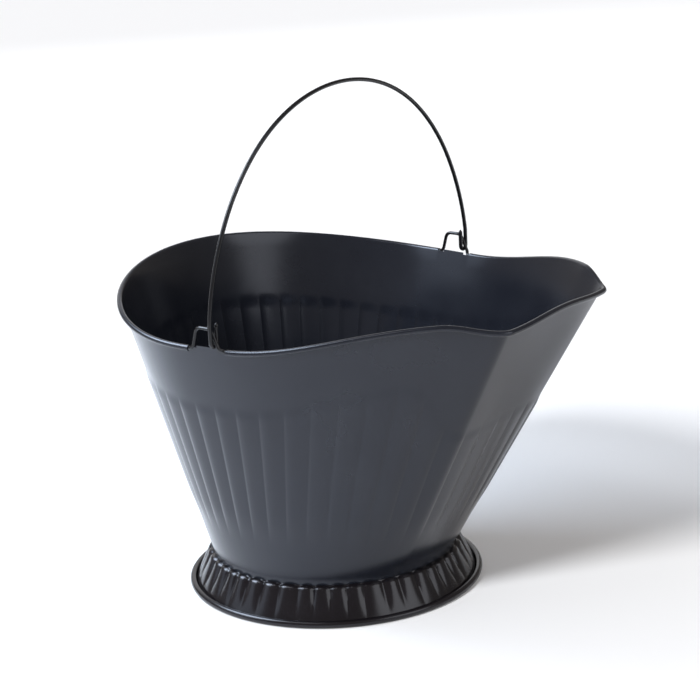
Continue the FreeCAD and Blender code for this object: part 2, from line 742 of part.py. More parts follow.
parts = [
    add_solid("body_sheet", body_sheet().fuse(back_seam())),
    bottom_pan(),
    add_solid("foot_ring", foot_ring()),
    foot_wire(),
    add_solid("rim_wire", rim_wire()),
    bail_handle(),
]
doc.recompute()

for item in doc.Objects:
    if "Invalid" in item.State or "Error" in item.State:
        raise RuntimeError(f"{item.Label} failed: {item.State}")
for item in parts:
    if item.Shape.isNull() or not item.Shape.isValid():
        raise RuntimeError(f"{item.Label} has no valid shape")

os.makedirs("parts", exist_ok=True)
for item in parts:
    item.Shape.exportStep(f"parts/{item.Label}.step")
    print(item.Label, "volume", round(item.Shape.Volume), "solids", len(item.Shape.Solids))
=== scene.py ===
import json
import math

import bmesh
import bpy
import numpy as np
from mathutils import Matrix, Vector


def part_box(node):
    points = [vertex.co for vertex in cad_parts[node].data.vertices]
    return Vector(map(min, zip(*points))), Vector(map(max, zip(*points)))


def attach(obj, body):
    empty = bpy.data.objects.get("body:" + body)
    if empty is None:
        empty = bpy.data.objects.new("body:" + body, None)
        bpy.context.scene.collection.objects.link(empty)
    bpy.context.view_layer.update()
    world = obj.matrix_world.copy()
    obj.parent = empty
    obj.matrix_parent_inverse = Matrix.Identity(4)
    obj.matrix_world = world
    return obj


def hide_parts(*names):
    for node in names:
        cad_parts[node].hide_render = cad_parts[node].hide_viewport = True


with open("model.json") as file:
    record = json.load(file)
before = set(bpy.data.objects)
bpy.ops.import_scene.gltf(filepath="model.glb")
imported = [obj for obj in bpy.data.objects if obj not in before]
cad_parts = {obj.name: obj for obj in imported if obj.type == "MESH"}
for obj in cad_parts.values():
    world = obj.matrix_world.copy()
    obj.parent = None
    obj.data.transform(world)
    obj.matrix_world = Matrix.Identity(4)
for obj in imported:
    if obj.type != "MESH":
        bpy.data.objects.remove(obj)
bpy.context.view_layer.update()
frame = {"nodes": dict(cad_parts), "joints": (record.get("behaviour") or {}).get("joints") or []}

# Body sheet
# One thin painted steel sheet, wrapped and locked down the back, with flutes pressed in below a plain band.
# Its top edge is rolled over the rim wire, except inside the two ears, and its collar has an inward hem.
SHEET = 0.0006
CLEARANCE = 0.00015
WIRE_ROOM = 0.00035
RIM_WIRE_RADIUS = 0.0015
rim_low, rim_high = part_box("rim_wire")
back_reach = -rim_low.x - RIM_WIRE_RADIUS
lip_reach = rim_high.x - RIM_WIRE_RADIUS
half_width = rim_high.y - RIM_WIRE_RADIUS
rim_height = rim_low.z + RIM_WIRE_RADIUS
back_rise = rim_high.z - RIM_WIRE_RADIUS - rim_height
waist_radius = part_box("bottom_pan")[1].x + CLEARANCE + SHEET
waist_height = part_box("foot_ring")[1].z + CLEARANCE
collar_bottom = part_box("body_sheet")[0].z
HEM_WIDTH = 0.005

WIDEST_X = -0.014
SIDE_RADIUS = 0.362
LIP_RADIUS = 0.600
CORNER_RADIUS = 0.012
CROWN_X = 0.212
CROWN_RISE = 0.025
DIP_X = 0.200
LIP_DIP = 0.008
LIP_ARCH = 0.004
EAR_X = 0.0195
EAR_WIDTH = 0.037
ear_front = EAR_X + EAR_WIDTH / 2
ear_back = EAR_X - EAR_WIDTH / 2
EAR_TAB_RISE = 0.0018
EAR_TAB_NOTCH = 0.007


def ease(share):
    """A smooth step from 0 to 1: half of one minus the cosine, level at both ends."""
    return (1 - np.cos(np.pi * np.clip(share, 0, 1))) / 2


def unit(vectors):
    """Vectors divided by their lengths."""
    return vectors / np.linalg.norm(vectors, axis=-1, keepdims=True)


def arc(middle, radius, first, last, count=1500):
    """Points in a plane, on a circle of this radius about a middle, from one angle to another."""
    angle = np.linspace(first, last, count)[:, None]
    return np.asarray(middle) + radius * np.hstack([np.cos(angle), np.sin(angle)])


def rim_plan():
    """Half of the rim in plan, from the back by -Y to the lip, and the place where its corner meets the lip.

    A quarter ellipse, an arc along the side, a round corner and half of the bowed lip. The corner's middle
    is where two circles cross, each drawn in from the side and from the lip by the corner's radius.
    """
    side = np.array([WIDEST_X, SIDE_RADIUS - half_width])
    lip = np.array([lip_reach - LIP_RADIUS, 0.0])
    apart = np.linalg.norm(lip - side)
    axis = (lip - side) / apart
    from_side, from_lip = SIDE_RADIUS - CORNER_RADIUS, LIP_RADIUS - CORNER_RADIUS
    along = (apart ** 2 + from_side ** 2 - from_lip ** 2) / (2 * apart)
    across = math.sqrt(from_side ** 2 - along ** 2)
    corner = side + axis * along + np.array([-axis[1], axis[0]]) * across
    side_end = math.atan2(corner[1] - side[1], corner[0] - side[0])
    lip_end = math.atan2(corner[1] - lip[1], corner[0] - lip[0])
    back = arc((0, 0), 1, math.pi, 1.5 * math.pi) * [back_reach + WIDEST_X, half_width] + [WIDEST_X, 0]
    runs = [back, arc(side, SIDE_RADIUS, -math.pi / 2, side_end)[1:],
            arc(corner, CORNER_RADIUS, side_end, lip_end)[1:], arc(lip, LIP_RADIUS, lip_end, 0)[1:]]
    return np.concatenate(runs), runs[3][0]


plan, lip_corner = rim_plan()
plan_share = np.concatenate([[0], np.cumsum(np.linalg.norm(np.diff(plan, axis=0), axis=1))])
plan_share /= 2 * plan_share[-1]


def rim_line(turn):
    """The middle of the rim's roll at shares of the way round, by equal lengths, from the back by -Y.

    Its height rises as a square towards the back, eases up to a crown behind the lip, and eases down to the
    lip's corners with a small arch between them.
    """
    turn = np.mod(turn, 1.0)
    half = np.minimum(turn, 1 - turn)
    x = np.interp(half, plan_share, plan[:, 0])
    y = np.interp(half, plan_share, plan[:, 1]) * np.where(turn > 0.5, -1, 1)
    rise = back_rise * (np.clip(ear_back - x, 0, None) / (ear_back + back_reach)) ** 2
    rise += CROWN_RISE * ease((x - ear_front) / (CROWN_X - ear_front))
    dip = (x - DIP_X) / (lip_corner[0] - DIP_X)
    rise -= LIP_DIP * ease(dip)
    rise += np.where(dip > 0, LIP_ARCH * ease(1 - np.abs(y / lip_corner[1])), 0)
    return np.stack([x, y, rim_height + rise], -1)


def turn_at(x):
    """The share of the way round at which the -Y half of the rim is at x."""
    return np.interp(x, plan[:, 0], plan_share)


def wall_lines(turn):
    """The straight lines of the wall: outwards at the waist, the foot, the rim's middle, up and out there.

    Each line runs from a share of the waist's circle to the same share of the rim. Out is square to the rim
    and to the line.
    """
    step = 5e-4
    angle = math.pi * (1 + 2 * turn)
    around = np.stack([np.cos(angle), np.sin(angle), 0 * angle], -1)
    foot = around * waist_radius + [0, 0, waist_height]
    middle = rim_line(turn)
    along = unit(rim_line(turn + step) - rim_line(turn - step))
    up = unit(middle - foot)
    return around, foot, middle, up, unit(np.cross(along, up))


FLUTE_COUNT = 50
FLUTE_GAIN = 4
FLUTE_GAIN_END = 0.2935
FLUTE_DEPTH = 0.0015
CREASE_DEPTH = 0.0012
CREASE_STEEP = 6.0
CREASE_EASY = 1.3
CREASE_SWAP = 0.30
CREASE_SWAP_END = 0.41
FLUTE_TOP_GAP = 0.056
FLUTE_LIP_GAP = 0.110
FLUTE_FALL_X = 0.186
FLUTE_TOP_FADE = 0.012
FLUTE_BOTTOM_GAP = 0.038
FLUTE_BOTTOM_FADE = 0.036
roll_inside = RIM_WIRE_RADIUS + WIRE_ROOM


def half_turn(turn):
    """The share of the way round from the back, by the nearer side."""
    turn = np.mod(turn, 1.0)
    return np.minimum(turn, 1 - turn)


def flutes_before(turn):
    """How many flutes lie between the back and a share of the way round.

    They are evenly spread, plus an easy step that makes them closer towards the back.
    """
    half = half_turn(turn)
    flutes = (FLUTE_COUNT - FLUTE_GAIN) * half + FLUTE_GAIN / 2 * ease(half / FLUTE_GAIN_END)
    return np.where(np.mod(turn, 1.0) <= 0.5, flutes, FLUTE_COUNT - flutes)


def flute_stand(turn):
    """How far a flute stands out from the plain wall: its depth, less the creases beside it.

    One side drops to its crease as a high power and the other as a low one. The steep side is towards the
    back on the rear of the hod and changes over to the lip's side in front.
    """
    half = half_turn(turn)
    across = np.mod(flutes_before(half) + 0.5, 1.0)
    rear = (1 - across) ** CREASE_STEEP + across ** CREASE_EASY
    front = across ** CREASE_STEEP + (1 - across) ** CREASE_EASY
    swap = ease((half - CREASE_SWAP) / (CREASE_SWAP_END - CREASE_SWAP))
    return FLUTE_DEPTH - CREASE_DEPTH * (rear * (1 - swap) + front * swap)


def wall_point(turn, down, share, inset):
    """The wall below the rim: a distance down from the rim's edge, then a share of the rest to the waist.

    The flutes are pressed out square to the wall, fading in over a short way below a plain band, which
    widens towards the lip, and out over a longer way at the bottom.
    """
    around, foot, middle, _, out = wall_lines(turn)
    top = middle - out * roll_inside
    length = np.linalg.norm(top - foot, axis=-1)
    from_rim = down + (length - down) * share
    rows = from_rim[..., None] / length[..., None]
    lipwards = ease((middle[..., 0] - FLUTE_FALL_X) / (lip_corner[0] - FLUTE_FALL_X))
    band = FLUTE_TOP_GAP + (FLUTE_LIP_GAP - FLUTE_TOP_GAP) * lipwards
    fade = ease((from_rim - band) / FLUTE_TOP_FADE)
    fade = fade * ease((length - from_rim - FLUTE_BOTTOM_GAP) / FLUTE_BOTTOM_FADE)
    stand = fade * flute_stand(turn)
    normal = unit(out * (1 - rows) + around * rows)
    return top * (1 - rows) + foot * rows + normal * (stand - inset)[..., None]


MERGE_DISTANCE = 2e-6
SHARP_EDGE = math.radians(50)


def grid_mesh(name, patches):
    """One mesh from grids of points, each with whether its rows and its columns close on themselves.

    Four neighbours of a grid make a face. Points that meet are merged, which also closes seams and poles.
    """
    points, faces, count = [], [], 0
    for grid, rows_close, columns_close in patches:
        rows, columns = grid.shape[:2]
        row = np.arange(rows if rows_close else rows - 1)[:, None]
        column = np.arange(columns if columns_close else columns - 1)[None, :]
        next_row, next_column = (row + 1) % rows, (column + 1) % columns
        corners = [row * columns + column, row * columns + next_column,
                   next_row * columns + next_column, next_row * columns + column]
        faces.append(np.stack(corners, -1).reshape(-1, 4) + count)
        points.append(grid.reshape(-1, 3))
        count += rows * columns
    points, faces = np.concatenate(points), np.concatenate(faces)
    mesh = bpy.data.meshes.new(name)
    mesh.vertices.add(len(points))
    mesh.vertices.foreach_set("co", points.astype(np.float32).ravel())
    mesh.loops.add(faces.size)
    mesh.loops.foreach_set("vertex_index", faces.astype(np.int32).ravel())
    mesh.polygons.add(len(faces))
    mesh.polygons.foreach_set("loop_start", np.arange(0, faces.size, 4, dtype=np.int32))
    mesh.update(calc_edges=True)
    work = bmesh.new()
    work.from_mesh(mesh)
    bmesh.ops.remove_doubles(work, verts=work.verts, dist=MERGE_DISTANCE)
    bmesh.ops.recalc_face_normals(work, faces=work.faces)
    work.to_mesh(mesh)
    work.free()
    mesh.polygons.foreach_set("use_smooth", np.ones(len(mesh.polygons), dtype=bool))
    mesh.set_sharp_from_angle(angle=SHARP_EDGE)
    return mesh


def add_piece(name, mesh, material, body, node):
    """A finished piece that rides on a body and stands for a node."""
    piece = bpy.data.objects.new(name, mesh)
    bpy.context.scene.collection.objects.link(piece)
    mesh.materials.append(material)
    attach(piece, body)
    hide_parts(node)


COLUMNS_PER_FLUTE = 10
EVEN_TURNS = 4000
LEAST_GAP = 4e-4
plain_rows = np.linspace(0, 0.046, 5)
fluted_rows = np.linspace(0.050, 0.130, 33)
lower_rows = np.linspace(0, 1, 19)[1:]
roll_angles = np.radians(np.linspace(0, 285, 22))


def body_patches():
    """The sheet as grids round the hod: both sides of the wall with the hem between, the rolls and the tabs.

    The columns crowd towards the creases as a sine. Those too near an end of a roll or tab give way to one
    at that end.
    """
    across_flute = np.sin(np.linspace(-np.pi / 2, np.pi / 2, COLUMNS_PER_FLUTE, endpoint=False)) / 2
    flutes = (np.arange(FLUTE_COUNT)[:, None] + across_flute[None, :]).ravel() % FLUTE_COUNT
    even = np.linspace(0, 1, EVEN_TURNS, endpoint=False)
    stations = np.interp(flutes, flutes_before(even), even)
    cuts = turn_at(np.array([ear_back, ear_back + EAR_TAB_NOTCH, ear_front - EAR_TAB_NOTCH, ear_front]))
    cuts = np.concatenate([cuts, 1 - cuts[::-1]])
    near_cut = np.abs(stations[:, None] - cuts[None, :]).min(1) < LEAST_GAP
    stations = np.unique(np.concatenate([stations[~near_cut], cuts]))
    place = np.searchsorted(stations, cuts)

    down = np.concatenate([plain_rows, fluted_rows, np.full(len(lower_rows), fluted_rows[-1])])[:, None]
    share = np.concatenate([0 * plain_rows, 0 * fluted_rows, lower_rows])[:, None]
    outer = wall_point(stations[None, :], down, share, 0.0)
    inner = wall_point(stations[None, :], down, share, SHEET)
    around, _, middle, up, out = wall_lines(stations)
    bore = waist_radius - SHEET
    ring = [(waist_radius, collar_bottom), (bore - HEM_WIDTH, collar_bottom),
            (bore - HEM_WIDTH, collar_bottom + SHEET), (bore, collar_bottom + SHEET)]
    bottom = np.stack([around * radius + [0, 0, height] for radius, height in ring])
    patches = [(np.concatenate([outer, bottom, inner[::-1]]), False, True)]

    angle = roll_angles[:, None, None]

    def roll(columns, radius):
        """Part of the rim's roll: a circle's arc from the wall, over the wire and down outside it."""
        return middle[columns] + radius * (out[columns] * -np.cos(angle) + up[columns] * np.sin(angle))

    lip_run = np.arange(place[3], place[4] + 1)
    back_run = np.arange(place[7], place[0] + len(stations) + 1) % len(stations)
    for run in (lip_run, back_run):
        inside, outside = roll(run, roll_inside), roll(run, roll_inside + SHEET)
        patches.append((np.concatenate([inside, outside[::-1]]), False, False))
        patches += [(np.stack([inside[:, end], outside[:, end]]), False, False) for end in (0, -1)]
    for first, last in ((1, 2), (5, 6)):
        tab = np.arange(place[first], place[last] + 1)
        tops = [outer[0, tab], outer[0, tab] + up[tab] * EAR_TAB_RISE,
                inner[0, tab] + up[tab] * EAR_TAB_RISE, inner[0, tab]]
        patches.append((np.stack(tops), False, False))
        ends = np.stack(tops)[[0, 1, 3, 2]]
        patches += [(ends[:, end].reshape(2, 2, 3), False, False) for end in (0, -1)]
    for first, last in ((0, 1), (2, 3), (4, 5), (6, 7)):
        notch = np.arange(place[first], place[last] + 1)
        patches.append((np.stack([outer[0, notch], inner[0, notch]]), False, False))
    return patches


SEAM_WIDTH = 0.008
SEAM_THICKNESS = 0.0012
SEAM_END_GAP = 0.006
SEAM_END_FADE = 0.004
SEAM_ROUNDING = 0.4
SEAM_ROWS = 60
SEAM_COLUMNS = 24


def seam_patch():
    """The lock seam's flat down the middle of the back: a bar along one line of the wall.

    Its section is a rounded oblong, a circle with its sine and cosine raised to a small power, and it thins
    to nothing at both ends so that it sinks into the sheet.
    """
    share = np.linspace(0, 1, SEAM_ROWS)
    _, foot, middle, up, out = (line[0] for line in wall_lines(np.zeros(1)))
    top = middle - out * roll_inside
    length = np.linalg.norm(top - foot)
    along = SEAM_END_GAP + (length - 2 * SEAM_END_GAP) * share
    thick = ease(np.minimum(along - SEAM_END_GAP, length - SEAM_END_GAP - along) / SEAM_END_FADE)
    angle = np.linspace(0, 2 * np.pi, SEAM_COLUMNS, endpoint=False)
    wide = SEAM_WIDTH / 2 * np.sign(np.cos(angle)) * np.abs(np.cos(angle)) ** SEAM_ROUNDING
    proud = SEAM_THICKNESS * np.sign(np.sin(angle)) * np.abs(np.sin(angle)) ** SEAM_ROUNDING
    proud = np.where(proud < 0, proud * SHEET / SEAM_THICKNESS / 2, proud)
    line = foot + (top - foot) * (along / length)[:, None]
    across = np.cross(out, up)
    return line[:, None] + across * wide[None, :, None] + out * (proud[None, :] * thick[:, None])[..., None]


class Value:
    """A value in a node tree. Arithmetic on it adds Math nodes, and node() adds any other node."""

    def __init__(self, tree, socket=None):
        self.tree = tree
        self.socket = socket

    def node(self, kind, settings, values, output=0):
        """A node of a kind: its settings, a ramp's stops among them, then its sockets' values or links."""
        made = self.tree.nodes.new(kind)
        for name, setting in settings.items():
            if name == "stops":
                for stop, (position, shade) in zip(made.color_ramp.elements, setting):
                    stop.position = position
                    stop.color = (shade, shade, shade, 1)
            else:
                setattr(made, name, setting)
        for name, value in values.items():
            if isinstance(value, Value):
                self.tree.links.new(value.socket, made.inputs[name])
            else:
                made.inputs[name].default_value = value
        return Value(self.tree, made.outputs[output] if made.outputs else None)

    def math(self, operation, first, second):
        """A Math node on two values or numbers."""
        return self.node("ShaderNodeMath", {"operation": operation}, {0: first, 1: second})

    def __add__(self, other):
        return self.math("ADD", self, other)

    def __sub__(self, other):
        return self.math("SUBTRACT", self, other)

    def __rsub__(self, other):
        return self.math("SUBTRACT", other, self)

    def __mul__(self, other):
        return self.math("MULTIPLY", self, other)

    __radd__ = __add__
    __rmul__ = __mul__


def new_tree(name):
    """An empty material's node tree, as a value to hang nodes on."""
    material = bpy.data.materials.new(name)
    material.use_nodes = True
    material.node_tree.nodes.clear()
    return material, Value(material.node_tree)


CLOUD_SCALE = 22.0
CLOUD_STOPS = [(0.35, 0.0), (0.7, 1.0)]
MOTTLE_SCALE = 160.0
MOTTLE_DULLNESS = 0.6
SKIN_SCALE = 900.0
SKIN_HEIGHT = 0.35
RUN_SCALE = 120.0
RUN_STRETCH = (1, 1, 0.12)


def black_paint(name, dark, worn, sheen, roughness, spread, peel, gloss, streaks=0.0):
    """Black paint on steel: two near shades in soft clouds, uneven gloss and a fine orange-peel skin.

    Where streaks is set, the paint also has long upright runs.
    """
    material, start = new_tree(name)
    place = start.node("ShaderNodeTexCoord", {}, {}, "Object")
    cloud = start.node("ShaderNodeTexNoise", {}, {"Vector": place, "Scale": CLOUD_SCALE, "Detail": 4.0})
    mottle = start.node("ShaderNodeTexNoise", {}, {"Vector": place, "Scale": MOTTLE_SCALE, "Detail": 3.0})
    skin = start.node("ShaderNodeTexNoise", {}, {"Vector": place, "Scale": SKIN_SCALE, "Detail": 2.0})
    patch = start.node("ShaderNodeValToRGB", {"stops": CLOUD_STOPS}, {"Fac": cloud})
    colour = start.node("ShaderNodeMix", {"data_type": "RGBA"}, {"Factor": patch, 6: dark, 7: worn}, 2)
    dullness = (cloud - 0.5) * spread + (mottle - 0.5) * (spread * MOTTLE_DULLNESS) + roughness
    height = skin * SKIN_HEIGHT + mottle
    if streaks:
        across = start.node("ShaderNodeVectorMath", {"operation": "MULTIPLY"}, {0: place, 1: RUN_STRETCH})
        runs = start.node("ShaderNodeTexNoise", {}, {"Vector": across, "Scale": RUN_SCALE, "Detail": 2.0})
        height = height + runs * streaks
    bump = start.node("ShaderNodeBump", {}, {"Height": height, "Strength": 1.0, "Distance": peel})
    shader = start.node("ShaderNodeBsdfPrincipled", {}, {
        "Base Color": colour, "Roughness": dullness, "Normal": bump, "Specular IOR Level": gloss,
        "Specular Tint": sheen})
    start.node("ShaderNodeOutputMaterial", {}, {"Surface": shader})
    return material


body_paint = black_paint("body_paint", (0.0085, 0.0098, 0.0145, 1), (0.0115, 0.0130, 0.0180, 1),
                         (0.89, 0.915, 1.0, 1), roughness=0.20, spread=0.06, peel=0.00001, gloss=0.45)
body_mesh = grid_mesh("body_sheet_fluted", body_patches() + [(seam_patch(), False, True)])
add_piece("body_sheet_fluted", body_mesh, body_paint, "hod", "body_sheet")

# Bottom pan
# A flat disc of the same sheet with its edge turned down, dropped into the body from above.
# Its flange stands on the body's hem, inside the collar.
pan_low, pan_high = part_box("bottom_pan")
PAN_BEND = 0.002
PAN_RINGS = 24
PAN_BEND_POINTS = 9
PAN_COLUMNS = 180


def turned(profile, count):
    """A profile of radius and height carried round the upright axis."""
    angle = np.linspace(0, 2 * np.pi, count, endpoint=False)
    radius, height = np.asarray(profile).T[:, :, None]
    return np.stack([radius * np.cos(angle), radius * np.sin(angle), height + 0 * angle], -1)


def pan_profile():
    """From the middle of the top out over the bend, down the flange, and back along the underside."""
    bend_middle = np.array([pan_high.x - PAN_BEND, pan_high.z - PAN_BEND])
    flat = np.linspace(0, bend_middle[0], PAN_RINGS)
    top = np.stack([flat, np.full(PAN_RINGS, pan_high.z)], 1)
    under = np.stack([flat[::-1], np.full(PAN_RINGS, pan_high.z - SHEET)], 1)
    flange = [(pan_high.x, pan_low.z), (pan_high.x - SHEET, pan_low.z)]
    outer_bend = arc(bend_middle, PAN_BEND, math.pi / 2, 0, PAN_BEND_POINTS)
    inner_bend = arc(bend_middle, PAN_BEND - SHEET, 0, math.pi / 2, PAN_BEND_POINTS)
    return np.concatenate([top, outer_bend[1:], flange, inner_bend, under[1:]])


pan_mesh = grid_mesh("bottom_pan_disc", [(turned(pan_profile(), PAN_COLUMNS), False, True)])
add_piece("bottom_pan_disc", pan_mesh, body_paint, "hod", "bottom_pan")

# Foot ring
# A strip of painted steel sheet crimped so that it flares, from a ledge under the body, where the crimps end
# in round noses, to a bead at the floor, where its edge is rolled over the foot wire.
foot_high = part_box("foot_ring")[1]
wire_low, wire_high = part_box("foot_wire")
foot_wire_radius = (wire_high.z - wire_low.z) / 2
bead_radius = wire_high.x - foot_wire_radius
bead_height = wire_low.z + foot_wire_radius
bead_inside = bead_height - SHEET
CRIMP_COUNT = 46
CRIMP_DEPTH = 0.0026
CRIMP_POWER = 2.4
CRIMP_NOSE = 0.0052
CRIMP_SHIFTS = ((0.12, 7, 0.4), (0.04, 19, 2.1), (0.025, 29, 1.0))
CRIMP_DEPTHS = ((0.10, 11, 0.0), (0.08, 23, 0.8))
CRIMP_FADE = 1.2
COLUMNS_PER_CRIMP = 14
FOOT_LEDGE = 0.0059
LEAN_FADE = 0.2
ledge_depths = np.linspace(0.1, 0.5, 3)
nose_depths = np.linspace(0.6, 1.0, 10)
face_rows = np.linspace(0, 1, 18)[1:]
bead_angles = np.radians(np.linspace(180, 480, 26))


def waves(turn, sizes):
    """Sine waves added up, each with its size, its count round the foot and its phase."""
    return sum(size * np.sin(2 * np.pi * count * turn + phase) for size, count, phase in sizes)


def crimps(turn):
    """How far the foot is drawn in between two crimps, from 0 on a crimp's crown to 1 in the fold beside it.

    A power of the way out from the crown, with the folds unevenly spaced and unevenly deep.
    """
    across = np.mod(turn * CRIMP_COUNT + waves(turn, CRIMP_SHIFTS), 1.0)
    return (1 + waves(turn, CRIMP_DEPTHS)) * np.abs(2 * across - 1) ** CRIMP_POWER


def foot_profile():
    """The foot's section on a crimp's crown: radius, height, lean of its face, share of the crimps' depth.

    A level ledge out from the body, a round nose, and a straight flare down to the bead. The crimps fade
    down the flare as a power, and its lean eases to nothing just above the bead.
    """
    nose_radius = waist_radius + FOOT_LEDGE - CRIMP_NOSE
    nose_height = foot_high.z - CRIMP_NOSE
    skirt = bead_radius - bead_inside
    flare = math.atan2(skirt - nose_radius - CRIMP_NOSE, nose_height - bead_height)
    radius = np.linspace(waist_radius + CLEARANCE, nose_radius, len(ledge_depths), endpoint=False)
    level = np.ones(len(ledge_depths))
    ledge = np.stack([radius, level * foot_high.z, level * math.pi / 2, ledge_depths], 1)
    lean = np.linspace(math.pi / 2, flare, len(nose_depths))
    nose = np.stack([nose_radius + CRIMP_NOSE * np.cos(lean), nose_height + CRIMP_NOSE * np.sin(lean), lean,
                     nose_depths], 1)
    down = face_rows[:, None]
    face = nose[-1] * (1 - down) + np.array([skirt, bead_height, flare, 0]) * down
    face[:, 2] *= 1 - ease((face_rows - 1 + LEAN_FADE) / LEAN_FADE)
    face[:, 3] = 1 - face_rows ** CRIMP_FADE
    return np.concatenate([ledge, nose, face])


def foot_patches():
    """Both sides of the foot's sheet, joined by its ledge's edge and by the roll of its bead."""
    turn = np.linspace(0, 1, CRIMP_COUNT * COLUMNS_PER_CRIMP, endpoint=False)
    angle = 2 * np.pi * turn
    radius, height, lean, depth = foot_profile().T[:, :, None]
    drawn = CRIMP_DEPTH * depth * crimps(turn)
    beads = bead_angles[:, None]

    def round_hod(out, rise):
        """Points at these distances from the upright axis and these heights, one column for each turn."""
        return np.stack([out * np.cos(angle), out * np.sin(angle), rise + 0 * angle], -1)

    sides = [round_hod(radius - (drawn + inset) * np.cos(lean), height - (drawn + inset) * np.sin(lean))
             for inset in (0, SHEET)]
    rolls = [round_hod(bead_radius + size * np.cos(beads), bead_height + size * np.sin(beads))
             for size in (bead_inside, bead_inside + SHEET)]
    return [(np.concatenate([sides[0], rolls[0][1:], rolls[1][::-1], sides[1][-2::-1]]), True, True)]


foot_paint = black_paint("foot_paint", (0.0050, 0.0040, 0.0052, 1), (0.0070, 0.0058, 0.0072, 1),
                         (0.94, 0.95, 1.0, 1), roughness=0.22, spread=0.06, peel=0.00004, gloss=0.42,
                         streaks=0.9)
foot_mesh = grid_mesh("foot_ring_crimped", foot_patches())
add_piece("foot_ring_crimped", foot_mesh, foot_paint, "hod", "foot_ring")

# Foot wire
# A ring of steel wire shut inside the foot's bead, so that hardly any of it shows. The frame's own ring is
# right as it is, and gets the foot's paint.
foot_wire = frame["nodes"]["foot_wire"]
foot_wire.data.materials.clear()
foot_wire.data.materials.append(foot_paint)

# Rim wire
# One painted steel wire inside the rim's roll. At each side it bends up out of the roll, over the top of an
# ear and down into the roll again, so the ears are part of it.
EAR_HEIGHT = 0.0185
EAR_BEND = 0.006
EAR_BACK_ANGLE = math.radians(74)
EAR_FRONT_ANGLE = math.radians(66)
EAR_BACK_SHARE = 0.9
EAR_BEND_POINTS = 14
LIP_RUN_POINTS = 500
BACK_RUN_POINTS = 320
RIM_WIRE_SIDES = 16
ear_ends = np.abs(rim_line(turn_at(np.array([ear_front, ear_back])))[:, 1])
ear_reach = ear_ends[0] + (ear_ends[1] - ear_ends[0]) * EAR_BACK_SHARE


def ear_leg(foot_x, foot_reach, ahead, slope):
    """One leg of an ear, out of the roll to the ear's top: a bend up, a straight slope and a bend level.

    Along X and up by the two bends' arcs, and sideways by an easy step from the rim's line to the ear's
    plane, over the first bend.
    """
    lean = np.linspace(0, slope, EAR_BEND_POINTS)
    bend_run = EAR_BEND * np.sin(lean)
    bend_rise = EAR_BEND * (1 - np.cos(lean))
    leg = (EAR_HEIGHT - 2 * bend_rise[-1]) / math.sin(slope)
    top_run = 2 * bend_run[-1] + leg * math.cos(slope)
    run = np.concatenate([bend_run, top_run - bend_run[::-1]])
    rise = np.concatenate([bend_rise, EAR_HEIGHT - bend_rise[::-1]])
    reach = foot_reach + (ear_reach - foot_reach) * ease(rise / bend_rise[-1])
    return np.stack([foot_x + ahead * run, reach, rim_height + rise], 1)


def ear_line(side):
    """An ear's wire from its back leg over the top and down its front leg, on one side by the sign of Y."""
    back = ear_leg(ear_back, ear_ends[1], 1, EAR_BACK_ANGLE)
    front = ear_leg(ear_front, ear_ends[0], -1, EAR_FRONT_ANGLE)
    return np.concatenate([back, front[::-1]]) * [1, side, 1]


def tube(line, radius, side, count, closed):
    """A round wire: a circle carried along a line of points, square to it, with one axis along side."""
    ahead = unit(np.roll(line, -1, 0) - np.roll(line, 1, 0)) if closed else unit(np.gradient(line, axis=0))
    side = unit(side - ahead * np.sum(side * ahead, -1, keepdims=True))
    other = np.cross(ahead, side)
    angle = np.linspace(0, 2 * np.pi, count, endpoint=False)[:, None]
    ring = np.cos(angle) * side[:, None] + np.sin(angle) * other[:, None]
    return line[:, None] + np.broadcast_to(radius, len(line))[:, None, None] * ring


def rim_wire_line():
    """The closed line of the wire: along the rim's middle, and over an ear on each side."""
    back, front = turn_at(ear_back), turn_at(ear_front)
    lip_run = rim_line(np.linspace(front, 1 - front, LIP_RUN_POINTS))
    back_run = rim_line(np.linspace(1 - back, 1 + back, BACK_RUN_POINTS))
    return np.concatenate([lip_run[:-1], ear_line(1)[::-1], back_run[1:-1], ear_line(-1)[:-1]])


wire_paint = black_paint("wire_paint", (0.0060, 0.0060, 0.0072, 1), (0.0085, 0.0085, 0.0098, 1),
                         (0.94, 0.96, 1.0, 1), roughness=0.20, spread=0.08, peel=0.00002, gloss=0.4)
wire_line = rim_wire_line()
level_side = np.cross(np.roll(wire_line, -1, 0) - np.roll(wire_line, 1, 0), [0, 0, 1])
rim_tube = tube(wire_line, RIM_WIRE_RADIUS, level_side, RIM_WIRE_SIDES, True)
rim_wire_mesh = grid_mesh("rim_wire_ears", [(rim_tube, True, True)])
add_piece("rim_wire_ears", rim_wire_mesh, wire_paint, "hod", "rim_wire")

# Bail handle
# One thicker painted steel wire bent into an arch, with its ends bent up into hooks through the two ears.
# It hangs loose in them and swings over the mouth.
bail_low, bail_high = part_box("bail_handle")
bail_radius = (bail_high.x - bail_low.x) / 2
bail_span = bail_high.y - bail_radius
pivot = Vector(frame["joints"][0]["pos_m"])
bail_height = bail_high.z - bail_radius - pivot.z
BAIL_CROWN = math.radians(50)
BAIL_LEG = 0.018
BAIL_DRAWN_IN = 0.006
hook_radius = bail_span - ear_reach
HOOK_HEIGHT = 0.019
BAIL_SIDES = 20
CROWN_POINTS = 120
SHOULDER_POINTS = 90
HOOK_POINTS = 40
HOOK_LEG_POINTS = 12
TIP_SHARE = 0.7


